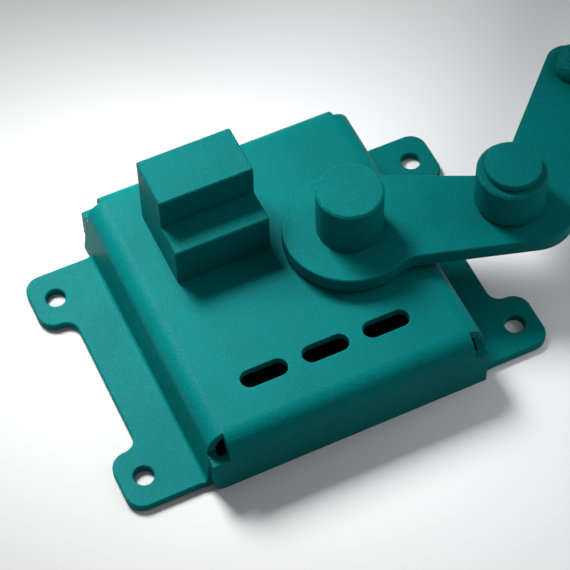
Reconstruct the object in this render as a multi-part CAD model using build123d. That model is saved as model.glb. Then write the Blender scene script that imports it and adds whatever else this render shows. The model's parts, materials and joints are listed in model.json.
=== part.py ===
from build123d import *

import math
import os

# Bench-mounted rebar bender: a formed steel base with four bolting ears, a stepped stop block, a forming
# pin that is also the lever's pivot, and a swinging lever that carries a roller and a tube handle.
# Millimetres. Origin: centre of the four bolt holes on the bench plane, +X towards the lever, +Z up.

# ---------------------------------------------------------------- driving dimensions
SHEET = 4.0                      # base sheet thickness
HOLE_SPACING_X = 180.0           # bolt pattern
HOLE_SPACING_Y = 102.0
HOLE_D = 9.0                     # for M8

PAN_WIDTH = 135.2                # raised part of the base, across the feet of its side walls
PAN_CENTRE = 1.0                 # it sits a little to the right of the bolt pattern's centre
PAN_LEAN = 6.0                   # side walls lean inwards
PAN_FRONT = -69.5
PAN_BACK = 78.0
PAN_TOP = 33.0
PAN_BEND_R = 9.0                 # outer radius of the bends along the top
EDGE_EASE = 0.6                  # chamfer along the flange's cut edge and the upper rims of its holes
FOOT_R = 2.0                     # inner bend from side wall to flange
SKIRT_X = (-65.0, 66.0)          # ends of the front and back skirts
SKIRT_CORNER_R = 6.0             # lower left corner of a skirt
SEAM = 0.4                       # seam between a skirt and the end of a side wall
SEAM_DEPTH = 1.2
RELIEF_X = 58.0                  # notch at each top corner: from here outwards, about the pan's centre
RELIEF_Y = 7.0                   # and over this much of the length, from the skirt's face
RELIEF_BOTTOM = 21.0

FLANGE_X = 87.0                  # edge of the side flange between the ears
EAR_MARGIN_X = 11.3              # from a hole's centre to the ear's outer edge
EAR_HALF_Y = 14.5                # half of an ear's width
EAR_R = 8.0
EAR_FILLET = 6.0

SLOT_LENGTH = 22.0               # plain slots in the top, near the front
SLOT_WIDTH = 9.0
SLOT_PITCH = 29.0
SLOT_Y = -43.0

BACKING_X = (-51.5, 54.5)
BACKING_Y = (-28.0, 62.0)
BACKING_T = 6.0
BACKING_R = 8.0                  # its corners
WELD_LEG = 4.0                   # stitch welds of the backing plate
STITCH_HALF = 15.0               # half of a stitch weld's length
WELD_LEG_LEFT = 3.0              # thinner beside the bends, where there is less room
WELD_LEG_RIGHT = 1.4
CORNER_WELD = 5.0                # leg of the upright corner seams
CORNER_WELD_LOW = 6.0            # and their lower end

BLOCK_X = (-43.5, 1.0)
BLOCK_FRONT = 15.0               # lower step, carries the bar
BLOCK_FACE = 30.5                # upper face, stops the bar
BLOCK_BACK = 56.0
BLOCK_TOP = 72.0
LEDGE_TOP = 55.0
BLOCK_BOLT_X = (-33.0, -9.5)
BLOCK_BOLT_Y = 43.0
BLOCK_BOLT_D = 10.0
BLOCK_BOLT_HEAD = 16.0           # across the flats
BLOCK_BOLT_HEAD_T = 6.4
BLOCK_WASHER_D = 20.0
BLOCK_WASHER_T = 2.0
BLOCK_BOLT_REACH = 17.0          # thread inside the block
BLOCK_HOLE_DEPTH = 20.0
BLOCK_EASE = 0.6

PIVOT = (34.5, 4.5)
PIN_D = 30.0
PIN_TOP = 68.5
JOURNAL_D = 24.0
BUSH_D = 28.0                    # outside of the lever's bush
STUD_D = 20.0
STUD_BOTTOM = 2.5
THRUST_WASHER_D = 52.0
PIVOT_WASHER_D = 37.0
PIVOT_WASHER_T = 3.0
NUT_FLATS = 30.0                 # slotted nut under the base
NUT_LOW = 8.0
NUT_SLOT = 4.0
SPLIT_PIN_Z = 5.8
SPLIT_PIN_R = 1.5
SPLIT_HOLE_R = 1.8

LEVER_BOTTOM = 35.0
LEVER_T = 8.0
LEVER_TOP = LEVER_BOTTOM + LEVER_T
HUB_R = 30.0
ROLLER_REACH = 72.4              # pivot to roller
ROLLER_ANGLE = -14.4             # direction of the neck at rest
ARM_ANGLE = 44.2                 # direction of the outer arm at rest
ARM_INNER = 8.5                  # roller axis to the arm's inner edge
ARM_OUTER = 30.0                 # roller axis to the arm's outer edge
ARM_LENGTH = 95.7                # roller axis to the arm's end
ARM_TIP_R = 10.0
ELBOW_R = 20.0
THROAT_R = 8.0
ROOT_R = 16.0                    # where the neck's front edge leaves the hub
NECK_TOP_OFFSET = 27.8           # pivot to the neck's back edge
NECK_TOP_ANGLE = -25.8
NECK_LOW_OFFSET = 20.8           # pivot to the neck's front edge
NECK_LOW_ANGLE = -17.0

ROLLER_D = 32.0
ROLLER_BOTTOM = 44.1
ROLLER_TOP = 64.7
ROLLER_HEAD_D = 25.0
ROLLER_HEAD_BOTTOM = 65.5
ROLLER_JOURNAL_D = 18.0
ROLLER_BUSH_D = 22.0
ROLLER_WASHER_D = 30.0
SPIGOT_D = 14.0                  # foot of the roller pin, let into the lever
SPIGOT_T = 2.8
SCREW_D = 8.0                    # countersunk screw that holds it
SCREW_HEAD_D = 16.0
SCREW_HEAD_T = 4.2
SCREW_REACH = 14.0               # thread inside the pin
SCREW_HOLE_DEPTH = 16.0
SOCKET_FLATS = 5.0
SOCKET_DEPTH = 2.6

TUBE_D = 21.3                    # half-inch pipe
TUBE_WALL = 2.6
TUBE_LENGTH = 440.0
FLAT_WIDTH = 29.0                # pressed end of the tube, about as wide as that pipe gets
FLAT_T = 5.6
FLAT_LENGTH = 38.0
TROUGH_DEPTH = 1.2               # hollow along the middle of the pressed end, shallower away from its cut end
TROUGH_WIDTH = 15.0
BLEND_LENGTH = 30.0
HANDLE_ANGLE = 41.0              # direction of the handle at rest
HANDLE_RISE = 6.0                # upward tilt past the pressed end
HANDLE_START = 76.0              # roller axis to the pressed end, along the arm
HANDLE_INSET = 8.4               # the arm's inner edge to the pressed end's near corner
GRIP_D = 31.0
GRIP_LENGTH = 122.0
GRIP_GROOVES = 5
GRIP_GROOVE_START = 22.0
GRIP_GROOVE_PITCH = 18.0
GRIP_GROOVE_WIDTH = 4.0
HANDLE_WELD_LEG = 4.5
HANDLE_WELD_TOP = 1.6            # how far its top stands out from the pressed end
HANDLE_WELD_LENGTH = 18.0        # how far it runs back along each side

RUNNING = 0.05                   # radial clearance of a running fit
GAP = 0.3                        # clearance between pieces that move past each other
PRESS = 0.1                      # radial room round a part that a bolt or thread holds still
PAST = 1.0                       # how far a cutter reaches past the face it cuts
WIDE = 120.0                     # half of a cutter that covers the whole base

BOLT_X = HOLE_SPACING_X / 2
BOLT_Y = HOLE_SPACING_Y / 2
LEAN = math.tan(math.radians(PAN_LEAN))
UNDER_TOP = PAN_TOP - SHEET
UNDER_BACKING = UNDER_TOP - BACKING_T
NUT_HIGH = UNDER_BACKING - PIVOT_WASHER_T


# ---------------------------------------------------------------- helpers
def direction(angle):
    return Vector(math.cos(math.radians(angle)), math.sin(math.radians(angle)), 0)


def right_of(angle):
    return Vector(math.sin(math.radians(angle)), -math.cos(math.radians(angle)), 0)


def disc(x, y, low, high, diameter):
    """Upright cylinder between two heights."""
    return Pos(x, y, low) * extrude(Circle(diameter / 2), high - low)


def ring(x, y, low, high, outer, inner):
    return disc(x, y, low, high, outer) - disc(x, y, low - 1, high + 1, inner)


def block(x, y, z):
    """Box from three (low, high) pairs."""
    size = [pair[1] - pair[0] for pair in (x, y, z)]
    middle = [(pair[0] + pair[1]) / 2 for pair in (x, y, z)]
    return Pos(*middle) * Box(*size)


def hexagon(x, y, low, high, across_flats):
    shape = RegularPolygon(across_flats / math.sqrt(3), 6)
    prism = Pos(x, y, low) * extrude(shape, high - low)
    return prism & disc(x, y, low, high, across_flats * 1.12)


def crossing(point_a, angle_a, point_b, angle_b):
    """Where two lines in the plan meet, each given by a point and a direction."""
    da, db = direction(angle_a), direction(angle_b)
    gap = point_b - point_a
    step = (gap.X * db.Y - gap.Y * db.X) / (da.X * db.Y - da.Y * db.X)
    return point_a + da * step


def edges_near(shape, x, y, reach=0.6):
    """Upright edges of a shape at one place in the plan."""
    return [e for e in shape.edges().filter_by(Axis.Z)
            if abs(e.center().X - x) < reach and abs(e.center().Y - y) < reach]


pivot = Vector(PIVOT[0], PIVOT[1], 0)
roller = pivot + direction(ROLLER_ANGLE) * ROLLER_REACH


# ---------------------------------------------------------------- base
def arched(low, high, height, lean, radius):
    """Profile of a pan across one direction: two sides, leaning in or upright, and rounded top corners."""
    inward = lean * height
    top = ((high - inward, height), (low + inward, height))
    face = make_face(Polyline((low, 0), (high, 0), *top, close=True))
    return fillet([v for v in face.vertices() if v.Y > height - 0.1], radius)


def wall_x(side, z, inset=0.0):
    """Outer face of a side wall at one height; the width is measured at the top of the flange."""
    lean_back = LEAN * (z - SHEET)
    return PAN_CENTRE + side * (PAN_WIDTH / 2 - lean_back - inset / math.cos(math.radians(PAN_LEAN)))


def pan_solid(inset, radius):
    """Filled pan, moved inwards by inset: two arched bars at right angles, where they overlap."""
    height = PAN_TOP - inset
    length = PAN_BACK - PAN_FRONT
    across = arched(wall_x(-1, 0, inset), wall_x(1, 0, inset), height, LEAN, radius)
    along = arched(PAN_FRONT + inset, PAN_BACK - inset, height, 0, radius)
    bar_y = extrude(Plane(origin=(0, PAN_BACK, 0), x_dir=(1, 0, 0), z_dir=(0, -1, 0)) * across, length)
    bar_x = extrude(Plane(origin=(-100, 0, 0), x_dir=(0, 1, 0), z_dir=(1, 0, 0)) * along, 200)
    return bar_y & bar_x


def flange_outline():
    """Side flanges with an ear at each corner; ears are rounded and run into the flange with fillets."""
    ear_x = BOLT_X + EAR_MARGIN_X
    strip = Rectangle(2 * FLANGE_X, 2 * (BOLT_Y + EAR_HALF_Y))
    ears = [Pos(0, side * BOLT_Y) * Rectangle(2 * ear_x, 2 * EAR_HALF_Y) for side in (-1, 1)]
    outline = strip + ears
    corners = [v for v in outline.vertices() if abs(abs(v.X) - ear_x) < 0.01]
    outline = fillet(corners, EAR_R)
    roots = [v for v in outline.vertices() if abs(abs(v.X) - FLANGE_X) < 0.01]
    return fillet(roots, EAR_FILLET)


def corners():
    """The pan's four corners: side, skirt face, direction of that face, and where the skirt ends."""
    return [(sx, y, sy, SKIRT_X[0] if sx < 0 else SKIRT_X[1])
            for sx in (-1, 1) for y, sy in ((PAN_FRONT, -1), (PAN_BACK, 1))]


def ease(outline, z, up):
    """Cutter that chamfers the rim of a plate with this outline, at the face z that looks up or down."""
    inside = Pos(0, 0, z - up * EDGE_EASE) * extrude(outline, up * EDGE_EASE, taper=45)
    slab = block((-WIDE, WIDE), (-WIDE, WIDE), sorted((z - up * EDGE_EASE, z + up * PAST)))
    under_pan = sorted(PAN_CENTRE + side * (PAN_WIDTH / 2 + FOOT_R) for side in (-1, 1))
    return slab - inside - block(under_pan, (-WIDE, WIDE), (-2 * PAST, SHEET + 2 * PAST))


def countersink(x, y, z, diameter):
    """Cutter that chamfers the upper rim of a round hole at the face z."""
    return Pos(x, y, z - EDGE_EASE / 2) * Cone(diameter / 2, diameter / 2 + EDGE_EASE, EDGE_EASE)


def fixing_holes(low, high):
    """Cutters for the forming pin's stud and the block's bolts, through the plate between two heights."""
    cutters = disc(*PIVOT, low - PAST, high + PAST, STUD_D + 4 * PRESS)
    for x in BLOCK_BOLT_X:
        cutters += disc(x, BLOCK_BOLT_Y, low - PAST, high + PAST, BLOCK_BOLT_D + 10 * PRESS)
    return cutters


def make_base_plate():
    shell = pan_solid(0, PAN_BEND_R)
    for sx, y_face, sy, x_end in corners():
        inner_y = y_face - sy * SHEET
        beyond = y_face + sy * SHEET
        notch_x = sorted((PAN_CENTRE + sx * RELIEF_X, sx * BOLT_X))
        notch_y = sorted((y_face - sy * RELIEF_Y, beyond))
        shell -= block(notch_x, notch_y, (RELIEF_BOTTOM, PAN_TOP + PAST))
        end_x = sorted((x_end, sx * BOLT_X))
        shell -= block(end_x, sorted((inner_y, beyond)), (-PAST, RELIEF_BOTTOM + PAST))
    plate = extrude(flange_outline(), SHEET)
    plate -= block((SKIRT_X[0] + SHEET, SKIRT_X[1] - SHEET), (-WIDE, WIDE), (-PAST, SHEET + PAST))
    plate = shell + plate
    wall_feet = [wall_x(side, SHEET) for side in (-1, 1)]
    feet = [e for e in plate.edges().filter_by(Axis.Y)
            if abs(e.center().Z - SHEET) < 0.01 and min(abs(e.center().X - x) for x in wall_feet) < 0.1]
    plate = fillet(feet, FOOT_R)
    for z, up in ((0, -1), (SHEET, 1)):
        plate -= ease(flange_outline(), z, up)
    for sx, y_face, sy, x_end in corners():
        inner_y = y_face - sy * SHEET
        seam_x = sorted((x_end - sx * SEAM_DEPTH, sx * BOLT_X))
        seam_y = sorted((inner_y, inner_y - sy * SEAM))
        plate -= block(seam_x, seam_y, (SHEET + SEAM, RELIEF_BOTTOM + PAST))
    centre_x, centre_z = SKIRT_X[0] + SKIRT_CORNER_R, SKIRT_CORNER_R
    for y_face, sy in ((PAN_FRONT, -1), (PAN_BACK, 1)):
        skirt_y = sorted((y_face - sy * SHEET, y_face + sy * PAST))
        corner = block((SKIRT_X[0] - PAST, centre_x), skirt_y, (-PAST, centre_z))
        round_part = Rot(90, 0, 0) * Cylinder(SKIRT_CORNER_R, 4 * SHEET)
        plate -= corner - Pos(centre_x, sum(skirt_y) / 2, centre_z) * round_part
    plate -= pan_solid(SHEET, PAN_BEND_R - SHEET)
    for x in (-BOLT_X, BOLT_X):
        for y in (-BOLT_Y, BOLT_Y):
            plate -= disc(x, y, -PAST, SHEET + PAST, HOLE_D)
            plate -= countersink(x, y, SHEET, HOLE_D)
    slot = extrude(SlotOverall(SLOT_LENGTH, SLOT_WIDTH), SHEET + 2 * PAST)
    for step in (-1, 0, 1):
        plate -= Pos(step * SLOT_PITCH, SLOT_Y, UNDER_TOP - PAST) * slot
    return plate - fixing_holes(UNDER_TOP, PAN_TOP)


def make_backing_plate():
    plate = block(BACKING_X, BACKING_Y, (UNDER_BACKING, UNDER_TOP))
    plate = fillet(plate.edges().filter_by(Axis.Z), BACKING_R)
    return plate - fixing_holes(UNDER_BACKING, UNDER_TOP)


def bead(start, end, leg, outward):
    """Fillet weld under the top sheet: a right-angled triangle swept along the plate's edge."""
    run = end - start
    profile_plane = Plane(origin=start, x_dir=outward, z_dir=run.normalized())
    up = Vector(0, 0, 1).dot(profile_plane.y_dir)
    profile = make_face(Polyline((0, 0), (leg, 0), (0, -up * leg), close=True))
    return extrude(profile_plane * profile, run.length)


def make_backing_welds():
    """Four stitch welds between the backing plate's edges and the underside of the top."""
    x_mid = sum(BACKING_X) / 2
    y_mid = sum(BACKING_Y) / 2
    half_x, half_y = Vector(STITCH_HALF, 0, 0), Vector(0, STITCH_HALF, 0)
    welds = []
    for y, sy in ((BACKING_Y[0], -1), (BACKING_Y[1], 1)):
        middle = Vector(x_mid, y, UNDER_TOP)
        welds.append(bead(middle - half_x, middle + half_x, WELD_LEG, (0, sy, 0)))
    for x, sx, leg in ((BACKING_X[0], -1, WELD_LEG_LEFT), (BACKING_X[1], 1, WELD_LEG_RIGHT)):
        middle = Vector(x, y_mid, UNDER_TOP)
        welds.append(bead(middle - half_y, middle + half_y, leg, (sx, 0, 0)))
    return welds


def make_corner_welds():
    """Upright seam inside each corner of the pan, where skirt and side wall meet."""
    hollow = pan_solid(SHEET, PAN_BEND_R - SHEET)
    beads = []
    for sx, y_face, sy, _ in corners():
        x = wall_x(sx, 0, SHEET)
        y = y_face - sy * SHEET
        reach_x = x - sx * (CORNER_WELD + LEAN * RELIEF_BOTTOM)
        face = make_face(Polyline((x, y), (reach_x, y), (x, y - sy * CORNER_WELD), close=True))
        seam = Pos(0, 0, CORNER_WELD_LOW) * extrude(face, RELIEF_BOTTOM - CORNER_WELD_LOW)
        beads.append(seam & hollow)
    return beads


# ---------------------------------------------------------------- stop block
def make_stop_block():
    upper = block(BLOCK_X, (BLOCK_FACE, BLOCK_BACK), (PAN_TOP, BLOCK_TOP))
    step = block(BLOCK_X, (BLOCK_FRONT, BLOCK_FACE + 1), (PAN_TOP, LEDGE_TOP))
    body = upper + step
    soften = [e for e in body.edges() if e.center().Z > PAN_TOP + 1 and not (
        abs(e.center().Y - BLOCK_FACE) < 0.1 and abs(e.center().Z - LEDGE_TOP) < 0.1)]
    body = chamfer(soften, BLOCK_EASE)
    for x in BLOCK_BOLT_X:
        body -= disc(x, BLOCK_BOLT_Y, PAN_TOP - PAST, PAN_TOP + BLOCK_HOLE_DEPTH, BLOCK_BOLT_D)
    return body


def make_block_bolts():
    """Hexagon bolts from below, through the backing plate and the top into the block."""
    head_top = UNDER_BACKING - BLOCK_WASHER_T
    shank_top = PAN_TOP + BLOCK_BOLT_REACH
    bolts, washers = [], []
    for x in BLOCK_BOLT_X:
        head = hexagon(x, BLOCK_BOLT_Y, head_top - BLOCK_BOLT_HEAD_T, head_top, BLOCK_BOLT_HEAD)
        shank = disc(x, BLOCK_BOLT_Y, head_top, shank_top, BLOCK_BOLT_D - 2 * PRESS)
        bolts.append(head + chamfer(shank.edges().group_by(Axis.Z)[-1], 0.8))
        hole = BLOCK_BOLT_D + 4 * PRESS
        washers.append(ring(x, BLOCK_BOLT_Y, head_top, UNDER_BACKING, BLOCK_WASHER_D, hole))
    return bolts, washers


# ---------------------------------------------------------------- forming pin and its fixings
def make_forming_pin():
    head = disc(*PIVOT, LEVER_TOP + GAP, PIN_TOP, PIN_D)
    head = chamfer(head.edges().group_by(Axis.Z)[-1], 1.0)
    journal = disc(*PIVOT, PAN_TOP, LEVER_TOP + GAP, JOURNAL_D - 2 * RUNNING)
    stud = disc(*PIVOT, STUD_BOTTOM, PAN_TOP, STUD_D)
    stud = chamfer(stud.edges().group_by(Axis.Z)[0], 1.5)
    hole = Pos(*PIVOT, SPLIT_PIN_Z) * Rot(0, 90, 0) * Cylinder(SPLIT_HOLE_R, 2 * STUD_D)
    return head + journal + stud - hole


def make_pivot_nut():
    """Slotted nut, locked by the split pin below it."""
    nut = hexagon(*PIVOT, NUT_LOW, NUT_HIGH, NUT_FLATS)
    nut -= disc(*PIVOT, NUT_LOW - PAST, NUT_HIGH + PAST, STUD_D + 2 * PRESS)
    slot = Box(2 * NUT_FLATS, NUT_SLOT, 1.5 * NUT_SLOT)
    for turn in (30, 90, 150):
        nut -= Pos(*PIVOT, NUT_LOW) * Rot(0, 0, turn) * slot
    return nut


def make_split_pin():
    """Split pin along X: an eye at one end, two legs bent apart at the other."""
    half, eye_r, eye_wire, leg_wire, leg_length, spread = 12.5, 2.4, 1.1, 0.9, 7.5, 55
    pin = Rot(0, 90, 0) * Cylinder(SPLIT_PIN_R, 2 * half)
    pin += Pos(-half - eye_r + 0.3, 0) * Torus(eye_r, eye_wire)
    for side in (-1, 1):
        leg = Rot(0, 0, side * spread) * Rot(0, 90, 0) * Cylinder(leg_wire, leg_length)
        pin += Pos(half + 0.5, side * 2.6) * leg
    return Pos(*PIVOT, SPLIT_PIN_Z) * pin


# ---------------------------------------------------------------- lever
def lever_outline():
    """Plan of the lever: round hub, neck out to the roller, elbow, then the arm with a rounded end."""
    u, n = direction(ARM_ANGLE), right_of(ARM_ANGLE)
    inner = roller - n * ARM_INNER
    outer = roller + n * ARM_OUTER
    back_line = pivot - right_of(NECK_TOP_ANGLE) * NECK_TOP_OFFSET
    front_line = pivot + right_of(NECK_LOW_ANGLE) * NECK_LOW_OFFSET
    tip_inner = inner + u * ARM_LENGTH
    tip_outer = outer + u * ARM_LENGTH
    throat = crossing(back_line, NECK_TOP_ANGLE, inner, ARM_ANGLE)
    elbow = crossing(front_line, NECK_LOW_ANGLE, outer, ARM_ANGLE)
    outline = (pivot, front_line, elbow, tip_outer, tip_inner, throat, back_line)
    arm = make_face(Polyline(*[(p.X, p.Y) for p in outline], close=True))

    def at(shape, point):
        return [v for v in shape.vertices() if abs(v.X - point.X) < 0.01 and abs(v.Y - point.Y) < 0.01]

    arm = fillet(at(arm, elbow), ELBOW_R)
    arm = fillet(at(arm, tip_outer) + at(arm, tip_inner), ARM_TIP_R)
    arm = fillet(at(arm, throat), THROAT_R)
    lever = arm + Pos(*PIVOT) * Circle(HUB_R)
    root = [v for v in lever.vertices()
            if abs((Vector(v.X, v.Y, 0) - pivot).length - HUB_R) < 0.01 and v.Y < pivot.Y]
    return fillet(root, ROOT_R)


def make_lever_plate():
    plate = Pos(0, 0, LEVER_BOTTOM) * extrude(lever_outline(), LEVER_T)
    rims = plate.edges().group_by(Axis.Z)
    plate = chamfer(rims[-1] + rims[0], 0.5)
    plate -= disc(*PIVOT, LEVER_BOTTOM - PAST, LEVER_TOP + PAST, BUSH_D)
    x, y = roller.X, roller.Y
    plate -= disc(x, y, LEVER_TOP - SPIGOT_T - 2 * PRESS, LEVER_TOP + PAST, SPIGOT_D + PRESS)
    plate -= disc(x, y, LEVER_BOTTOM - PAST, LEVER_TOP, SCREW_D + 4 * PRESS)
    seat = Cone(SCREW_HEAD_D / 2 + PRESS, SCREW_D / 2 + PRESS, SCREW_HEAD_T)
    return plate - Pos(x, y, LEVER_BOTTOM + SCREW_HEAD_T / 2) * seat


def make_roller_pin():
    x, y = roller.X, roller.Y
    head = disc(x, y, ROLLER_HEAD_BOTTOM, PIN_TOP, ROLLER_HEAD_D)
    head = chamfer(head.edges().group_by(Axis.Z)[-1], 0.5)
    journal = disc(x, y, LEVER_TOP, ROLLER_HEAD_BOTTOM, ROLLER_JOURNAL_D - 2 * RUNNING)
    spigot = disc(x, y, LEVER_TOP - SPIGOT_T, LEVER_TOP, SPIGOT_D)
    return head + journal + spigot - disc(x, y, LEVER_BOTTOM, LEVER_TOP + SCREW_HOLE_DEPTH, SCREW_D)


def make_roller_screw():
    """Countersunk screw, flush with the underside of the lever."""
    x, y = roller.X, roller.Y
    low = LEVER_BOTTOM
    head = Pos(x, y, low + SCREW_HEAD_T / 2) * Cone(SCREW_HEAD_D / 2, SCREW_D / 2, SCREW_HEAD_T)
    shank = disc(x, y, low + 1, LEVER_TOP + SCREW_REACH, SCREW_D - 2 * PRESS)
    socket = Pos(x, y, low) * extrude(RegularPolygon(SOCKET_FLATS / math.sqrt(3), 6), SOCKET_DEPTH)
    return head + shank - socket


def make_roller_sleeve():
    sleeve = ring(roller.X, roller.Y, ROLLER_BOTTOM, ROLLER_TOP, ROLLER_D, ROLLER_BUSH_D)
    outer = [e for e in sleeve.edges().filter_by(GeomType.CIRCLE) if abs(e.radius - ROLLER_D / 2) < 0.01]
    return chamfer(outer, 1.0)


# ---------------------------------------------------------------- handle
def handle_planes():
    """Sections of the handle: pressed end, end of the flat, start of the round tube, and its free end."""
    along, side = direction(HANDLE_ANGLE), right_of(HANDLE_ANGLE)
    corner = roller + direction(ARM_ANGLE) * HANDLE_START - right_of(ARM_ANGLE) * (ARM_INNER - HANDLE_INSET)
    start = corner + side * FLAT_WIDTH / 2
    start = Vector(start.X, start.Y, LEVER_TOP + FLAT_T / 2)
    rise = math.radians(HANDLE_RISE)
    tilted = along * math.cos(rise) + Vector(0, 0, 1) * math.sin(rise)
    flat_end = start + along * FLAT_LENGTH
    round_start = flat_end + (along + tilted).normalized() * BLEND_LENGTH
    free_end = round_start + tilted * (TUBE_LENGTH - FLAT_LENGTH - BLEND_LENGTH)
    flat_planes = [Plane(origin=point, x_dir=side, z_dir=along) for point in (start, flat_end)]
    return flat_planes + [Plane(origin=point, x_dir=side, z_dir=tilted) for point in (round_start, free_end)]


def tube_section(plane, width, height):
    return plane * RectangleRounded(width, height, min(width, height) / 2 - 0.02)


def trough():
    """Cylinder that hollows the top of the pressed end; it rises out of it towards the round tube."""
    start = handle_planes()[0]
    radius = (TROUGH_WIDTH ** 2 / 4 + TROUGH_DEPTH ** 2) / (2 * TROUGH_DEPTH)
    along, up = start.z_dir, Vector(0, 0, 1)
    climb = (along + up * (TROUGH_DEPTH / FLAT_LENGTH)).normalized()
    centre = start.origin + up * (FLAT_T / 2 - TROUGH_DEPTH + radius) - climb * 5
    return extrude(Plane(origin=centre, x_dir=start.x_dir, z_dir=climb) * Circle(radius), FLAT_LENGTH + 10)


def make_handle_tube():
    start, flat_end, round_start, free_end = handle_planes()
    round_length = (free_end.origin - round_start.origin).length
    flat = extrude(tube_section(start, FLAT_WIDTH, FLAT_T), FLAT_LENGTH) - trough()
    blend = loft([tube_section(flat_end, FLAT_WIDTH, FLAT_T), tube_section(round_start, TUBE_D, TUBE_D)])
    tube = extrude(tube_section(round_start, TUBE_D, TUBE_D), round_length)
    bore = TUBE_D - 2 * TUBE_WALL
    narrow = tube_section(flat_end, FLAT_WIDTH - 2 * TUBE_WALL, FLAT_T - 2 * TUBE_WALL)
    hollow = loft([narrow, tube_section(round_start, bore, bore)])
    hollow += extrude(tube_section(round_start, bore, bore), round_length)
    return flat + blend + tube - hollow


def make_handle_weld(tube):
    """Fillet weld round the pressed end: along its cut end and back along both long sides."""
    start = handle_planes()[0]
    along, side = direction(HANDLE_ANGLE), right_of(HANDLE_ANGLE)
    near = start.origin - side * FLAT_WIDTH / 2
    near = Vector(near.X, near.Y, LEVER_TOP)
    far = near + side * FLAT_WIDTH
    weld = None
    leg, top, inner = HANDLE_WELD_LEG, HANDLE_WELD_TOP, -3.0
    runs = ((near, side, FLAT_WIDTH, -along), (near, along, HANDLE_WELD_LENGTH, -side),
            (far, along, HANDLE_WELD_LENGTH, side))
    for begin, run, reach, out in runs:
        plane = Plane(origin=begin, x_dir=out, z_dir=run)
        up = Vector(0, 0, 1).dot(plane.y_dir)
        profile = make_face(Polyline((inner, 0), (leg, 0), (top, up * leg), (inner, up * leg), close=True))
        piece = extrude(plane * profile, reach)
        weld = piece if weld is None else weld + piece
    for point in (near, far):
        weld += Pos(point.X, point.Y, LEVER_TOP + leg / 2) * Cone(leg, top, leg)
    reach_of_arm = Pos(0, 0, LEVER_TOP) * extrude(offset(lever_outline(), -1.0), leg + 1)
    inside = extrude(tube_section(start, FLAT_WIDTH, FLAT_T), FLAT_LENGTH + BLEND_LENGTH)
    return (weld & reach_of_arm) - inside - tube


def make_grip():
    """Rubber sleeve over the free end, with shallow finger grooves."""
    free_end = handle_planes()[3]
    back = Plane(origin=free_end.origin - free_end.z_dir * (GRIP_LENGTH - 4), x_dir=free_end.x_dir,
                 z_dir=free_end.z_dir)
    sleeve = extrude(back * Circle(GRIP_D / 2), GRIP_LENGTH - 4)
    sleeve = chamfer(sleeve.edges().filter_by(GeomType.CIRCLE), 1.5)
    sleeve -= extrude(back * Circle(TUBE_D / 2 + RUNNING), GRIP_LENGTH)
    for step in range(GRIP_GROOVES):
        low = back.origin + back.z_dir * (GRIP_GROOVE_START + step * GRIP_GROOVE_PITCH)
        here = Plane(origin=low, x_dir=back.x_dir, z_dir=back.z_dir)
        outside = extrude(here * Circle(GRIP_D / 2 + PAST), GRIP_GROOVE_WIDTH)
        sleeve -= outside - extrude(here * Circle(GRIP_D / 2 - PAST), GRIP_GROOVE_WIDTH)
    return sleeve


def make_end_cap():
    """Plug that closes the tube's free end."""
    free_end = handle_planes()[3]
    flange, thickness, stem = 1.5, 3.5, 14
    cap = extrude(free_end * Circle(TUBE_D / 2 + flange), thickness)
    cap = fillet(cap.edges().filter_by(GeomType.CIRCLE).sort_by(lambda e: -e.center().Z)[0], 2)
    stem_start = Plane(origin=free_end.origin - free_end.z_dir * stem, x_dir=free_end.x_dir,
                       z_dir=free_end.z_dir)
    return cap + extrude(stem_start * Circle(TUBE_D / 2 - TUBE_WALL - PRESS), stem)


# ---------------------------------------------------------------- assembly
handle_tube = make_handle_tube()
lever_plate = make_lever_plate()
block_bolts, block_washers = make_block_bolts()

nodes = {
    "base_plate": make_base_plate(),
    "backing_plate": make_backing_plate(),
    "backing_plate_welds": make_backing_welds(),
    "corner_welds": make_corner_welds(),
    "stop_block": make_stop_block(),
    "stop_block_bolts": block_bolts,
    "stop_block_washers": block_washers,
    "forming_pin": make_forming_pin(),
    "thrust_washer": ring(*PIVOT, PAN_TOP, LEVER_BOTTOM - GAP, THRUST_WASHER_D, JOURNAL_D + 4 * PRESS),
    "pivot_washer": ring(*PIVOT, NUT_HIGH, UNDER_BACKING, PIVOT_WASHER_D, STUD_D + 4 * PRESS),
    "pivot_nut": make_pivot_nut(),
    "pivot_split_pin": make_split_pin(),
    "lever_plate": lever_plate,
    "lever_bush": ring(*PIVOT, LEVER_BOTTOM, LEVER_TOP, BUSH_D, JOURNAL_D),
    "roller_pin": make_roller_pin(),
    "roller_screw": make_roller_screw(),
    "roller_washer": ring(roller.X, roller.Y, LEVER_TOP, ROLLER_BOTTOM - GAP, ROLLER_WASHER_D,
                          ROLLER_JOURNAL_D + 4 * PRESS),
    "roller_sleeve": make_roller_sleeve(),
    "roller_bush": ring(roller.X, roller.Y, ROLLER_BOTTOM, ROLLER_TOP, ROLLER_BUSH_D, ROLLER_JOURNAL_D),
    "handle_tube": handle_tube,
    "handle_weld": make_handle_weld(handle_tube),
    "handle_grip": make_grip(),
    "handle_end_cap": make_end_cap(),
}

os.makedirs("parts", exist_ok=True)
for name, shape in nodes.items():
    solid = Compound(children=list(shape)) if isinstance(shape, list) else shape
    export_step(solid, f"parts/{name}.step")
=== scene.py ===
import json
import math

import bmesh
import bpy
import numpy as np
from mathutils import Matrix, Vector


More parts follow.
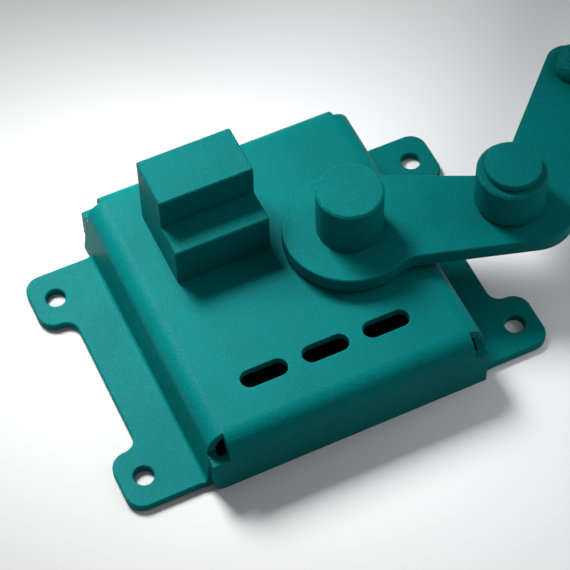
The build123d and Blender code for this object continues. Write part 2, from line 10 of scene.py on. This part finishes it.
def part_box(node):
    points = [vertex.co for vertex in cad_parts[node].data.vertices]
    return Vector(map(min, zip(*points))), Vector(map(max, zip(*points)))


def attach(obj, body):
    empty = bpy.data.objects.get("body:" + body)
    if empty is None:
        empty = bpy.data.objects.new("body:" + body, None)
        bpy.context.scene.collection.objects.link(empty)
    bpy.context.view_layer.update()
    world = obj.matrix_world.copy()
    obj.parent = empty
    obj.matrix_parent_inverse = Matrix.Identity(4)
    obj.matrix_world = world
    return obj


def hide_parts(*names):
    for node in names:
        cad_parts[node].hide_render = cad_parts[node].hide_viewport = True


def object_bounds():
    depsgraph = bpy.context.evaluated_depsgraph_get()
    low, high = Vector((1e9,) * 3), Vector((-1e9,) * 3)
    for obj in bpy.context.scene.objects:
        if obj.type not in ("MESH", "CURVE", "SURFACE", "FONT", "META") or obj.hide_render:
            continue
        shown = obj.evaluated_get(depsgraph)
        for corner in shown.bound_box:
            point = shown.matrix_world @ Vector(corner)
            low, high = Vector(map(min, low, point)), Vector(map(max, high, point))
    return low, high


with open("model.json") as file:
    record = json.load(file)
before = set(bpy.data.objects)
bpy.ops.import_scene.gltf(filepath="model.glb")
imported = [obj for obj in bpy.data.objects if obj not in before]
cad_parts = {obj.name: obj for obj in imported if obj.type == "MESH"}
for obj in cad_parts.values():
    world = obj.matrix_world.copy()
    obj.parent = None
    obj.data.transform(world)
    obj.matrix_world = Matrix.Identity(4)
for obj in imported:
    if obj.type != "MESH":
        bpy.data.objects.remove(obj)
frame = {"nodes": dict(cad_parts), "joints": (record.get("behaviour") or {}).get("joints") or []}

# A bench-mounted rebar bender. The CAD pieces keep their shape and get their finishes here. Welds, bolts, grip
# and end plug are modelled in place of plain CAD solids, and the stage is a pale floor under two lamps.
cad_low, cad_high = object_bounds()
MM = 0.001

# ---------------------------------------------------------------- finishes
TEAL = (0.0002, 0.103, 0.100)
TEAL_THIN_EDGE_AND_HIGHLIGHT = (0.006, 0.210, 0.205)           # where the coat is thin, on edges, and pale enough to be a painted highlight on them as well
COAT_SHINE = 0.022                          # low: a textured coat has next to no mirror shine


class Finish:
    """A Principled material being built. Patterns are fixed to the piece, in metres."""

    def __init__(self, name, roughness, metallic=0.0):
        self.material = bpy.data.materials.new(name)
        self.material.use_nodes = True
        self.tree = self.material.node_tree
        self.shader = self.tree.nodes["Principled BSDF"]
        self.shader.inputs["Metallic"].default_value = metallic
        self.shader.inputs["Roughness"].default_value = roughness
        self.place = self.node("ShaderNodeTexCoord").outputs["Object"]
        self.height = None

    def node(self, kind, **settings):
        made = self.tree.nodes.new(kind)
        for key, value in settings.items():
            setattr(made, key, value)
        return made

    def link(self, source, target):
        self.tree.links.new(source, target)

    def noise(self, size, detail=2.0, stretch=(1, 1, 1)):
        """Cloudy pattern from 0 to 1 with features about size metres across."""
        mapping = self.node("ShaderNodeMapping")
        mapping.inputs["Scale"].default_value = [s / size for s in stretch]
        self.link(self.place, mapping.inputs["Vector"])
        pattern = self.node("ShaderNodeTexNoise")
        pattern.inputs["Scale"].default_value = 1.0
        pattern.inputs["Detail"].default_value = detail
        self.link(mapping.outputs["Vector"], pattern.inputs["Vector"])
        return pattern.outputs["Fac"]

    def level(self, value, low, high, to_low=0.0, to_high=1.0):
        """Stretches the range low..high of a value to to_low..to_high."""
        ramp = self.node("ShaderNodeMapRange")
        for key, number in (("From Min", low), ("From Max", high), ("To Min", to_low), ("To Max", to_high)):
            ramp.inputs[key].default_value = number
        self.link(value, ramp.inputs["Value"])
        return ramp.outputs["Result"]

    def maths(self, operation, a, b=None):
        made = self.node("ShaderNodeMath", operation=operation)
        for socket, value in zip(made.inputs, (a, b)):
            if isinstance(value, (int, float)):
                socket.default_value = value
            elif value is not None:
                self.link(value, socket)
        return made.outputs[0]

    def mix(self, factor, a, b, blend="MIX"):
        """Colour a to colour b by a factor. Each colour is a tuple or a socket."""
        made = self.node("ShaderNodeMix", data_type="RGBA", blend_type=blend)
        for socket, value in ((made.inputs[0], factor), (made.inputs[6], a), (made.inputs[7], b)):
            if isinstance(value, (int, float)):
                socket.default_value = value
            elif isinstance(value, tuple):
                socket.default_value = (*value, 1.0)
            else:
                self.link(value, socket)
        return made.outputs[2]

    def edges(self, radius):
        """0 on flats and in hollows, and up to 1 along outer edges, within about radius metres."""
        solid = self.node("ShaderNodeAmbientOcclusion", inside=True, only_local=True, samples=8)
        solid.inputs["Distance"].default_value = radius
        return self.level(solid.outputs["AO"], 0.85, 0.35)

    def soften(self, radius):
        """Rounds the shading of sharp edges, as coating or handling does to a real edge."""
        rounded = self.node("ShaderNodeBevel", samples=6)
        rounded.inputs["Radius"].default_value = radius
        self.height = rounded.outputs["Normal"]

    def bump(self, height, depth):
        """Adds a relief of depth metres to those before it."""
        made = self.node("ShaderNodeBump")
        made.inputs["Strength"].default_value = 1.0
        made.inputs["Distance"].default_value = depth
        self.link(height, made.inputs["Height"])
        if self.height is not None:
            self.link(self.height, made.inputs["Normal"])
        self.height = made.outputs["Normal"]

    def finish(self, colour, roughness=None):
        """Joins the colour, the roughness and the relief to the shader."""
        if isinstance(colour, tuple):
            self.shader.inputs["Base Color"].default_value = (*colour, 1.0)
        else:
            self.link(colour, self.shader.inputs["Base Color"])
        if roughness is not None:
            self.link(roughness, self.shader.inputs["Roughness"])
        if self.height is not None:
            self.link(self.height, self.shader.inputs["Normal"])
        return self.material


def shade(colour, factor):
    return tuple(c * factor for c in colour)


def powder_coat(name, colour=TEAL, grain=1.0):
    """Satin powder coat: fine grain, a faint orange peel, cloudy thickness, and a thin coat on edges that is
    pale enough to paint their highlights as well.
    """
    coat = Finish(name, 0.5)
    coat.shader.inputs["Specular IOR Level"].default_value = COAT_SHINE
    cloud = coat.level(coat.noise(28 * MM, 3), 0.3, 0.7)
    speck = coat.level(coat.noise(0.75 * MM, 2), 0.3, 0.7)
    colour_cloud = coat.mix(cloud, shade(colour, 0.93), shade(colour, 1.05))
    colour_speck = coat.mix(speck, (0.86, 0.86, 0.86), (1.14, 1.14, 1.14))
    body = coat.mix(1.0, colour_cloud, colour_speck, "MULTIPLY")
    patches = coat.level(coat.noise(3 * MM, 4), 0.35, 0.65, 0.2, 0.8)
    # Thin coat on the edges, lightened so that it also paints their highlights.
    edge_wear_and_highlight = coat.maths("MULTIPLY", coat.edges(0.7 * MM), patches)
    body = coat.mix(edge_wear_and_highlight, body, TEAL_THIN_EDGE_AND_HIGHLIGHT)
    rough = coat.level(coat.noise(2.2 * MM, 3), 0.3, 0.7, 0.34, 0.44)
    coat.soften(0.6 * MM)
    coat.bump(coat.noise(4.5 * MM, 2), 0.10 * MM)
    coat.bump(coat.noise(0.65 * MM, 2), 0.20 * MM * grain)
    return coat.finish(body, rough)


def zinc(name):
    """Dull bright zinc over machined steel, with faint turning lines and stains."""
    plate = Finish(name, 0.35, 1.0)
    stain = plate.level(plate.noise(5 * MM, 4), 0.35, 0.7)
    colour = plate.mix(stain, (0.60, 0.61, 0.63), (0.42, 0.43, 0.44))
    rough = plate.level(plate.noise(1.2 * MM, 3), 0.3, 0.7, 0.28, 0.46)
    plate.bump(plate.noise(0.5 * MM, 2, (1, 1, 6)), 0.02 * MM)
    return plate.finish(colour, rough)


def black_oxide(name):
    """Oiled black oxide with a brown bloom and bright steel at the edges."""
    skin = Finish(name, 0.4, 0.85)
    bloom = skin.level(skin.noise(4 * MM, 4), 0.4, 0.7)
    colour = skin.mix(bloom, (0.022, 0.022, 0.024), (0.050, 0.042, 0.036))
    colour = skin.mix(skin.maths("MULTIPLY", skin.edges(0.5 * MM), 0.5), colour, (0.32, 0.32, 0.33))
    rough = skin.level(skin.noise(1.5 * MM, 3), 0.3, 0.7, 0.30, 0.5)
    skin.bump(skin.noise(0.6 * MM, 2), 0.02 * MM)
    return skin.finish(colour, rough)


def bronze(name):
    """Turned bronze, greased in places."""
    metal = Finish(name, 0.35, 1.0)
    grease = metal.level(metal.noise(6 * MM, 3), 0.45, 0.6)
    colour = metal.mix(grease, (0.58, 0.38, 0.17), (0.30, 0.19, 0.08))
    rough = metal.level(grease, 0.0, 1.0, 0.38, 0.2)
    metal.bump(metal.noise(0.5 * MM, 2, (1, 1, 8)), 0.015 * MM)
    return metal.finish(colour, rough)


def moulded(name, colour, rough_low, rough_high, grain_size, grain_depth):
    """Moulded rubber or plastic with a spark-eroded grain and dust in cloudy patches."""
    skin = Finish(name, rough_high)
    dust = skin.level(skin.noise(9 * MM, 4), 0.5, 0.75, 0.0, 0.45)
    body = skin.mix(dust, colour, shade(colour, 2.2))
    rough = skin.level(skin.noise(2 * MM, 3), 0.3, 0.7, rough_low, rough_high)
    skin.bump(skin.noise(grain_size, 3), grain_depth)
    return skin.finish(body, rough)


coat_base = powder_coat("powder_coat_base", grain=1.15)
# Painted shade: the stop block's coat is a darker copy of the same teal.
painted_shade_block_coat = powder_coat("powder_coat_painted_shade_block", shade(TEAL, 0.88), grain=1.7)
coat_pin = powder_coat("powder_coat_pin", shade(TEAL, 0.97), grain=1.7)
coat_lever = powder_coat("powder_coat_lever", grain=1.1)
coat_weld = powder_coat("powder_coat_weld", shade(TEAL, 0.97), grain=1.4)
zinc_steel = zinc("zinc_plated_steel")
black_steel = black_oxide("black_oxide_steel")
bronze_metal = bronze("turned_bronze")
rubber = moulded("moulded_rubber", (0.018, 0.018, 0.019), 0.55, 0.72, 0.6 * MM, 0.05 * MM)
plastic = moulded("moulded_plastic", (0.026, 0.026, 0.028), 0.38, 0.5, 0.9 * MM, 0.03 * MM)

FINISHES = {
    coat_base: ("base_plate", "backing_plate"),
    coat_weld: ("backing_plate_welds", "corner_welds", "handle_weld"),
    painted_shade_block_coat: ("stop_block",),
    coat_pin: ("forming_pin", "roller_sleeve", "roller_pin"),
    coat_lever: ("lever_plate", "handle_tube"),
    zinc_steel: ("stop_block_bolts", "stop_block_washers", "pivot_washer", "pivot_nut", "pivot_split_pin",
                 "roller_washer"),
    black_steel: ("roller_screw",),
    bronze_metal: ("thrust_washer", "lever_bush", "roller_bush"),
    rubber: ("handle_grip",),
    plastic: ("handle_end_cap",),
}
for material, names in FINISHES.items():
    for name in names:
        mesh = frame["nodes"][name].data
        mesh.materials.clear()
        mesh.materials.append(material)


# ---------------------------------------------------------------- pieces modelled in place of CAD nodes
HANDLE_ANGLE = math.radians(41.0)           # the handle's direction at rest, seen from above
ARM_ANGLE = math.radians(44.2)              # the arm's direction
ARM_INNER = 8.5 * MM                        # roller axis to the arm's inner edge
PRESSED_START = 76.0 * MM                   # roller axis to the handle's pressed end, along the arm
PRESSED_INSET = 8.4 * MM                    # arm's inner edge to the pressed end's near corner
PRESSED_WIDTH = 29.0 * MM
HANDLE_WELD_R = 5.2 * MM
HANDLE_WELD_RISE = 1.2 * MM                 # its centre line stands this high over the lever
HANDLE_WELD_IN = 1.6 * MM                   # and this far inside the pressed end's left side
HANDLE_WELD_AHEAD = 2.2 * MM                # and this far inside its cut end
HANDLE_WELD_BACK = 18.0 * MM                # how far it runs back along the left side
HANDLE_WELD_SHORT = 3.0 * MM                # it stops this far from the right side
HANDLE_WELD_BEND = 3.0 * MM                 # rounding of its corner
WELD_RIPPLE = 1.5 * MM                      # from one scale to the next
BEAD_SIDES = 20
STITCH_HALF = 15.0 * MM                     # half of a stitch weld's length
STITCH_R = 3.4 * MM                         # front and back
STITCH_R_LEFT = 2.6 * MM
STITCH_R_RIGHT = 1.4 * MM
SEAM_R = 2.8 * MM                           # upright seams in the pan's corners
SEAM_FOOT_IN = 0.9 * MM                     # they lean with the pan's walls
SEAM_HEAD_IN = 2.2 * MM
SEAM_SHORT = 1.0 * MM
BOLT_FLATS = 16.0 * MM
BOLT_CORNERS = 1.12 * BOLT_FLATS            # the hexagons' corners are turned off at this diameter
BOLT_HEAD = 6.4 * MM
BOLT_CROWN = math.radians(30)               # slope of the turned crown
BOLT_WASHER_FACE = 0.4 * MM
BOLT_SHANK_R = 4.9 * MM
BOLT_TIP = 0.8 * MM                         # chamfer at the shank's end
STUD_R = 10.0 * MM
STUD_PITCH = 2.5 * MM
STUD_CREST = 0.32 * MM                      # how far the thread stands out
STUD_ROOT = 0.3 * MM                        # and how far it goes in
STUD_START = 4.0 * MM
STUD_UNDER_NUT = 1.1 * MM
STUD_STEPS = 64                             # per turn
GRIP_BAND = 12.0 * MM                       # plain band at each end
GRIP_PAD = 7.0 * MM                         # length of a pad, before the rows are fitted
GRIP_FLUTES = 12                            # pads round the sleeve
GRIP_DEPTH = 1.3 * MM
GRIP_LIP = 1.6 * MM
GRIP_RING_STEP = 0.5 * MM
GRIP_SIDES = 144
CIRCLE_SIDES = 96
UP = Vector((0, 0, 1))

joints = {joint["name"]: joint for joint in frame["joints"]}
roller_axis = Vector(joints["roller_spin"]["pos_m"])
lever_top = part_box("lever_plate")[1].z


def forward(angle):
    """Level direction at an angle from +X."""
    return Vector((math.cos(angle), math.sin(angle), 0))


def rightward(angle):
    """Level direction to the right of it, seen from above."""
    return Vector((math.sin(angle), -math.cos(angle), 0))


def skin(rings, closed_loop=False):
    """Points and faces over rings of points.

    The end rings are filled, or joined to each other for a closed loop.
    """
    count = len(rings[0])
    points = [point for ring in rings for point in ring]
    faces = []
    for i in range(len(rings) if closed_loop else len(rings) - 1):
        a, b = i * count, (i + 1) % len(rings) * count
        faces += [(a + j, a + (j + 1) % count, b + (j + 1) % count, b + j) for j in range(count)]
    if not closed_loop:
        faces.append(tuple(reversed(range(count))))
        faces.append(tuple((len(rings) - 1) * count + j for j in range(count)))
    return points, faces


def add_piece(name, skins, material, body, replaced=None, sharp=None):
    """A piece from one or more skins. Its faces are smooth, up to an angle if one is given."""
    points, faces = [], []
    for some_points, some_faces in skins:
        faces += [tuple(corner + len(points) for corner in face) for face in some_faces]
        points += some_points
    mesh = bpy.data.meshes.new(name)
    mesh.from_pydata(points, [], faces)
    shape = bmesh.new()
    shape.from_mesh(mesh)
    bmesh.ops.recalc_face_normals(shape, faces=shape.faces)
    shape.to_mesh(mesh)
    shape.free()
    mesh.polygons.foreach_set("use_smooth", [True] * len(faces))
    if sharp is not None:
        mesh.set_sharp_from_angle(angle=math.radians(sharp))
    mesh.update()
    mesh.materials.append(material)
    piece = bpy.data.objects.new(name, mesh)
    bpy.context.scene.collection.objects.link(piece)
    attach(piece, body)
    if replaced:
        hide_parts(replaced)


def smooth_path(corners, bend, step):
    """Points about a step apart along straight runs, with each corner rounded over bend metres."""
    rounded = [corners[0]]
    for before, corner, after in zip(corners, corners[1:], corners[2:]):
        start = corner + (before - corner).normalized() * bend
        end = corner + (after - corner).normalized() * bend
        rounded += [start.lerp(corner, t).lerp(corner.lerp(end, t), t) for t in np.linspace(0, 1, 9)]
    rounded.append(corners[-1])
    path = [rounded[0]]
    for a, b in zip(rounded, rounded[1:]):
        steps = max(1, round((b - a).length / step))
        path += [a.lerp(b, (i + 1) / steps) for i in range(steps)]
    return path


def weld_bead(corners, radius, bend=0.0, lift=UP):
    """A bead of overlapping scales along a path, tapered at both ends. The scales' crowns lean to lift."""
    path = smooth_path(corners, bend, WELD_RIPPLE / 5)
    runs = np.cumsum([0.0] + [(b - a).length for a, b in zip(path, path[1:])])
    rings = []
    for i, point in enumerate(path):
        along = (path[min(i + 1, len(path) - 1)] - path[max(i - 1, 0)]).normalized()
        side = along.cross(lift).normalized()
        up = side.cross(along)
        taper = min(1.0, 0.25 + (min(runs[i], runs[-1] - runs[i]) / (1.2 * radius)) ** 0.6)
        ring = []
        for turn in np.linspace(0, math.tau, BEAD_SIDES, endpoint=False):
            scale = (runs[i] / WELD_RIPPLE + 0.35 * math.cos(turn)) % 1.0
            swell = radius * taper * (1.0 + 0.10 * (1.0 - scale) ** 1.5 - 0.05)
            wander = 0.05 * radius * math.sin(runs[i] / radius * 1.7)
            ring.append(point + side * (math.sin(turn) * swell + wander) + up * math.cos(turn) * swell * 0.92)
        rings.append(ring)
    return skin(rings)


def make_handle_weld():
    """One bead along the pressed end's left side and across its cut end."""
    along, side = forward(HANDLE_ANGLE), rightward(HANDLE_ANGLE)
    near = roller_axis + forward(ARM_ANGLE) * PRESSED_START
    near = near - rightward(ARM_ANGLE) * (ARM_INNER - PRESSED_INSET)
    near.z = lever_top + HANDLE_WELD_RISE
    inward, ahead = side * HANDLE_WELD_IN, along * HANDLE_WELD_AHEAD
    far = near + side * (PRESSED_WIDTH - HANDLE_WELD_SHORT)
    corners = [near + along * HANDLE_WELD_BACK + inward, near + inward + ahead, far + ahead]
    bead = weld_bead(corners, HANDLE_WELD_R, HANDLE_WELD_BEND)
    add_piece("handle_weld_bead", [bead], coat_weld, "lever", "handle_weld")


def make_base_welds():
    """Stitches round the backing plate and upright seams in the pan's corners."""
    low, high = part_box("backing_plate")
    middle = (low + high) / 2
    stitches = []
    for x, y, radius in ((middle.x, low.y, STITCH_R), (middle.x, high.y, STITCH_R),
                         (low.x, middle.y, STITCH_R_LEFT), (high.x, middle.y, STITCH_R_RIGHT)):
        half = Vector((STITCH_HALF, 0, 0)) if x == middle.x else Vector((0, STITCH_HALF, 0))
        place = Vector((x, y, high.z))
        stitches.append(weld_bead([place - half, place + half], radius, lift=-UP))
    add_piece("backing_weld_beads", stitches, coat_weld, "base", "backing_plate_welds")
    low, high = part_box("corner_welds")
    seams = []
    for x, sx in ((low.x, -1), (high.x, 1)):
        for y in (low.y, high.y):
            foot = Vector((x - sx * SEAM_FOOT_IN, y, low.z + SEAM_SHORT))
            head = Vector((x - sx * SEAM_HEAD_IN, y, high.z - SEAM_SHORT))
            seams.append(weld_bead([foot, head], SEAM_R, lift=Vector((sx, 0, 0))))
    add_piece("corner_weld_seams", seams, coat_weld, "base", "corner_welds")


def circle(centre, axis, radius):
    """A ring of points about an axis. The radius is a number, or a function of the angle."""
    across = axis.orthogonal().normalized() if abs(axis.z) < 0.99 else Vector((1, 0, 0))
    other = axis.cross(across).normalized()
    turns = [math.tau * i / CIRCLE_SIDES for i in range(CIRCLE_SIDES)]
    sizes = [radius(turn) if callable(radius) else radius for turn in turns]
    return [centre + (across * math.cos(t) + other * math.sin(t)) * r for t, r in zip(turns, sizes)]


def make_block_bolts():
    """Hexagon heads with a dish, a turned crown and a washer face, and the shanks that go into the block."""
    low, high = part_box("stop_block_bolts")
    half_flat, round_r = BOLT_FLATS / 2, BOLT_CORNERS / 2
    crown_r, face_r = half_flat * 0.92, half_flat * 0.95
    dish = ((half_flat * 0.50, 0.5 * MM), (half_flat * 0.55, 0.0), (crown_r, 0.0))

    def hexagon(turn):
        off_flat = (turn + math.pi / 6) % (math.pi / 3) - math.pi / 6
        return min(half_flat / math.cos(off_flat), round_r)

    bolts = []
    for x in (low.x + round_r, high.x - round_r):
        foot = Vector((x, (low.y + high.y) / 2, low.z))
        rings = [circle(foot + UP * rise, UP, radius) for radius, rise in dish]
        crown = circle(foot, UP, hexagon)
        for point in crown:
            point.z += ((point - foot).length - crown_r) * math.tan(BOLT_CROWN)
        rings.append(crown)
        neck = BOLT_HEAD - BOLT_WASHER_FACE
        rings.append(circle(foot + UP * neck, UP, hexagon))
        rings.append(circle(foot + UP * neck, UP, face_r))
        rings.append(circle(foot + UP * BOLT_HEAD, UP, face_r))
        rings.append(circle(foot + UP * BOLT_HEAD, UP, BOLT_SHANK_R))
        rings.append(circle(Vector((x, foot.y, high.z - BOLT_TIP)), UP, BOLT_SHANK_R))
        rings.append(circle(Vector((x, foot.y, high.z)), UP, BOLT_SHANK_R - BOLT_TIP))
        bolts.append(skin(rings))
    add_piece("stop_block_hex_bolts", bolts, zinc_steel, "base", "stop_block_bolts", sharp=20)


def make_stud_thread():
    """The last turns of the thread on the forming pin's stud, under its nut."""
    centre = Vector(joints["lever_swing"]["pos_m"])
    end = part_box("pivot_nut")[0].z - STUD_UNDER_NUT
    rings = []
    for i in range(int((end - STUD_START) / STUD_PITCH * STUD_STEPS) + 1):
        turn = math.tau * i / STUD_STEPS
        out = Vector((math.cos(turn), math.sin(turn), 0))
        z = STUD_START + STUD_PITCH * i / STUD_STEPS
        root = STUD_R - STUD_ROOT
        crest = STUD_R + STUD_CREST * min(1.0, i / STUD_STEPS)
        ridge = [(root, -0.42), (crest, -0.07), (crest, 0.07), (root, 0.42)]
        rings.append([Vector((centre.x, centre.y, z + rise * STUD_PITCH)) + out * r for r, rise in ridge])
    add_piece("forming_pin_thread", [skin(rings)], zinc_steel, "base", sharp=30)


def long_axis(node):
    """Ends of a turned node's axis, its outer radius and its bore's radius, from its vertices."""
    points = np.array([vertex.co for vertex in frame["nodes"][node].data.vertices])
    centre = (points.max(0) + points.min(0)) / 2
    values, vectors = np.linalg.eigh(np.cov((points - centre).T))
    along = vectors[:, values.argmax()]
    if along @ (centre - np.array(roller_axis)) < 0:
        along = -along
    reach = (points - centre) @ along
    off_axis = points - centre - np.outer(reach, along)
    middle = centre + (off_axis.max(0) + off_axis.min(0)) / 2
    spokes = points - middle - np.outer((points - middle) @ along, along)
    radii = np.linalg.norm(spokes, axis=1)
    reach = (points - middle) @ along
    ends = [Vector(middle + along * r) for r in (reach.min(), reach.max())]
    return ends, radii.max(), radii.min()


def make_grip():
    """Rubber sleeve: rows of raised pads between plain bands, and a rounded lip at each end."""
    (start, end), outer, inner = long_axis("handle_grip")
    axis = (end - start).normalized()
    across = axis.cross(UP).normalized()
    other = across.cross(axis)
    length = (end - start).length
    padded = length - 2 * GRIP_BAND
    pad = padded / round(padded / GRIP_PAD)

    def groove(phase, width):
        """1 in the middle of a groove and 0 on a pad. Phase runs from 0 to 1 over each pad."""
        distance = abs((phase % 1.0) - 0.5)
        rise = min(1.0, max(0.0, (distance - (0.5 - width)) / (width * 0.6)))
        return rise * rise * (3 - 2 * rise)

    def around(s, turn, radius):
        return start + axis * s + (across * math.cos(turn) + other * math.sin(turn)) * radius

    turns = np.linspace(0, math.tau, GRIP_SIDES, endpoint=False)
    rings = []
    for s in np.arange(0, length + GRIP_RING_STEP / 2, GRIP_RING_STEP):
        s = min(s, length)
        edge = min(s, length - s, GRIP_LIP)
        drop = GRIP_LIP - math.sqrt(max(0.0, GRIP_LIP ** 2 - (GRIP_LIP - edge) ** 2))
        ring = []
        for turn in turns:
            dent = 0.0
            if GRIP_BAND < s < length - GRIP_BAND:
                row = (s - GRIP_BAND) / pad
                flute = turn / math.tau * GRIP_FLUTES + 0.5 * (int(row) % 2)
                dent = GRIP_DEPTH * max(groove(row, 0.16), groove(flute, 0.14))
            ring.append(around(s, turn, outer - drop - dent))
        rings.append(ring)
    bore = [[around(s, turn, inner) for turn in turns] for s in (length, 0.0)]
    sleeve = skin(rings + bore, closed_loop=True)
    add_piece("handle_grip_sleeve", [sleeve], rubber, "lever", "handle_grip")


def make_end_cap():
    """Moulded plug: a rounded flange with a dished face and a raised ring, on a stem inside the tube."""
    (start, end), _, _ = long_axis("handle_grip")
    axis = (end - start).normalized()
    # each point of the profile: radius, and reach past the grip's end, in millimetres
    stem = [(6.5, -14.0), (7.9, -12.5), (7.9, 0.0)]
    rim = [(12.1, 0.0), (12.1, 1.6)]
    rounding = [(10.2 + 1.9 * math.cos(a), 1.6 + 1.9 * math.sin(a)) for a in np.linspace(0.2, 1.5, 8)]
    face = [(9.0, 3.5), (8.6, 3.1), (4.2, 2.9), (3.9, 3.3), (2.6, 3.3), (2.3, 2.9), (0.4, 2.9)]
    profile = stem + rim + rounding + face
    rings = [circle(end + axis * reach * MM, axis, radius * MM) for radius, reach in profile]
    add_piece("handle_end_plug", [skin(rings)], plastic, "lever", "handle_end_cap", sharp=40)


make_handle_weld()
make_base_welds()
make_block_bolts()
make_stud_thread()
make_grip()
make_end_cap()


# ---------------------------------------------------------------- camera
CAMERA_AZIMUTH = math.radians(-24.0)
CAMERA_ELEVATION = math.radians(55.5)
CAMERA_ROLL = math.radians(-1.375)
CAMERA_DISTANCE = 0.9552
CAMERA_LENS = 135.8                         # mm, on a sensor 36 mm wide
CAMERA_AIM = Vector((1.9, 2.3, 20.0)) * MM


def make_camera():
    """The camera looks down at the aim from the front left, turned a little about its own line of sight."""
    flat, rise = math.cos(CAMERA_ELEVATION), math.sin(CAMERA_ELEVATION)
    back = Vector((math.sin(CAMERA_AZIMUTH) * flat, -math.cos(CAMERA_AZIMUTH) * flat, rise))
    right = Vector((math.cos(CAMERA_AZIMUTH), math.sin(CAMERA_AZIMUTH), 0))
    up = back.cross(right)
    across = right * math.cos(CAMERA_ROLL) + up * math.sin(CAMERA_ROLL)
    turned = Matrix((across, back.cross(across), back)).transposed()
    camera = bpy.data.objects.new("camera", bpy.data.cameras.new("camera"))
    camera.data.lens = CAMERA_LENS
    camera.data.sensor_width = 36.0
    camera.data.clip_start = 0.01
    camera.matrix_world = Matrix.Translation(CAMERA_AIM + back * CAMERA_DISTANCE) @ turned.to_4x4()
    bpy.context.scene.collection.objects.link(camera)
    bpy.context.scene.camera = camera


# ---------------------------------------------------------------- studio
FLOOR_REACH = 6.0
FLOOR_DROP = 0.02 * MM                      # below the base, so that the two don't meet in one plane
FAR_FLOOR = (0.88, 0.88, 0.88)
FAR_GLOW = 0.12                             # the floor's own light beyond the key lamp's pool
SHADE_SHEET_INSET = 6.0 * MM
SHADE_SHEET_RISE = 0.2 * MM
KEY_AIM = (-0.085, 0.01, 0)
WORLD_COLOUR = (0.92, 0.95, 1.0, 1.0)
WORLD_STRENGTH = 0.32


def softbox(name, direction, distance, size, power, aim=(0, 0, 0), spread=180):
    """A square lamp at a distance from the point it is aimed at.

    A small spread, in degrees, keeps its light near that point.
    """
    lamp = bpy.data.lights.new(name, "AREA")
    lamp.size = size
    lamp.energy = power
    lamp.spread = math.radians(spread)
    holder = bpy.data.objects.new(name, lamp)
    towards = Vector(direction).normalized()
    holder.location = Vector(aim) + towards * distance
    holder.rotation_mode = "QUATERNION"
    holder.rotation_quaternion = towards.to_track_quat("Z", "Y")
    bpy.context.scene.collection.objects.link(holder)


def lay_sheet(name, low, high, z, material):
    """A flat rectangle of the stage from corner low to corner high."""
    mesh = bpy.data.meshes.new(name)
    corners = [(low[0], low[1], z), (high[0], low[1], z), (high[0], high[1], z), (low[0], high[1], z)]
    mesh.from_pydata(corners, [], [(0, 1, 2, 3)])
    mesh.materials.append(material)
    sheet = bpy.data.objects.new(name, mesh)
    bpy.context.scene.collection.objects.link(sheet)


def floor_paper():
    """Pale paper whose tone paints shade and light: greyer behind the object and on its left, where the key
    lamp falls, and paler far away, where it also glows.
    """
    paper = Finish("floor_paper", 0.75)
    parts = paper.node("ShaderNodeSeparateXYZ")
    paper.link(paper.place, parts.inputs[0])
    distance = paper.node("ShaderNodeVectorMath", operation="LENGTH")
    paper.link(paper.place, distance.inputs[0])
    across_front = paper.level(parts.outputs["X"], -0.20, 0.25)
    across_back = paper.level(parts.outputs["X"], 0.0, 0.25)
    backwards = paper.level(parts.outputs["Y"], 0.05, 0.26)
    beyond = paper.level(distance.outputs["Value"], 0.25, 0.38)
    for fade in (across_front, across_back, backwards, beyond):
        fade.node.interpolation_type = "SMOOTHSTEP"
    # painted shade and light: the paper is darker where the key lamp's pool falls and paler beyond it
    front = paper.mix(across_front, (0.30, 0.30, 0.298), (0.70, 0.70, 0.70))
    back = paper.mix(across_back, (0.25, 0.25, 0.25), (0.86, 0.86, 0.87))
    lit = paper.mix(backwards, front, back)
    paper.shader.inputs["Emission Color"].default_value = (1.0, 1.0, 1.0, 1.0)
    paper.link(paper.maths("MULTIPLY", beyond, FAR_GLOW), paper.shader.inputs["Emission Strength"])
    return paper.finish(paper.mix(beyond, lit, FAR_FLOOR))


# Painted shade: a near-black sheet on the floor inside the base, standing in for the shade under it.
def painted_shade_felt_finish():
    felt = Finish("painted_shade_sheet_felt", 0.9)
    return felt.finish(felt.mix(felt.noise(2 * MM), (0.006, 0.006, 0.006), (0.012, 0.012, 0.012)))


def make_floor():
    """Plain pale floor, with a near-black sheet inside the base as painted shade, so that its slots look dark.
    """
    far = (FLOOR_REACH, FLOOR_REACH)
    lay_sheet("floor", (-FLOOR_REACH, -FLOOR_REACH), far, cad_low.z - FLOOR_DROP, floor_paper())
    low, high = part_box("corner_welds")
    inset = Vector((SHADE_SHEET_INSET, SHADE_SHEET_INSET, 0))
    # painted shade under the base, seen through its slots
    lay_sheet("painted_shade_sheet", low + inset, high - inset, cad_low.z + SHADE_SHEET_RISE, painted_shade_felt_finish())


make_camera()
make_floor()
softbox("key", (-0.04, 0.46, 0.60), 0.62, 0.24, 1.17, KEY_AIM, 50)
softbox("right", (1.0, -0.18, 0.62), 2.4, 1.4, 26)
world = bpy.data.worlds.new("studio")
world.use_nodes = True
world.node_tree.nodes["Background"].inputs["Color"].default_value = WORLD_COLOUR
world.node_tree.nodes["Background"].inputs["Strength"].default_value = WORLD_STRENGTH
bpy.context.scene.world = world
bpy.context.scene.view_settings.view_transform = "Standard"
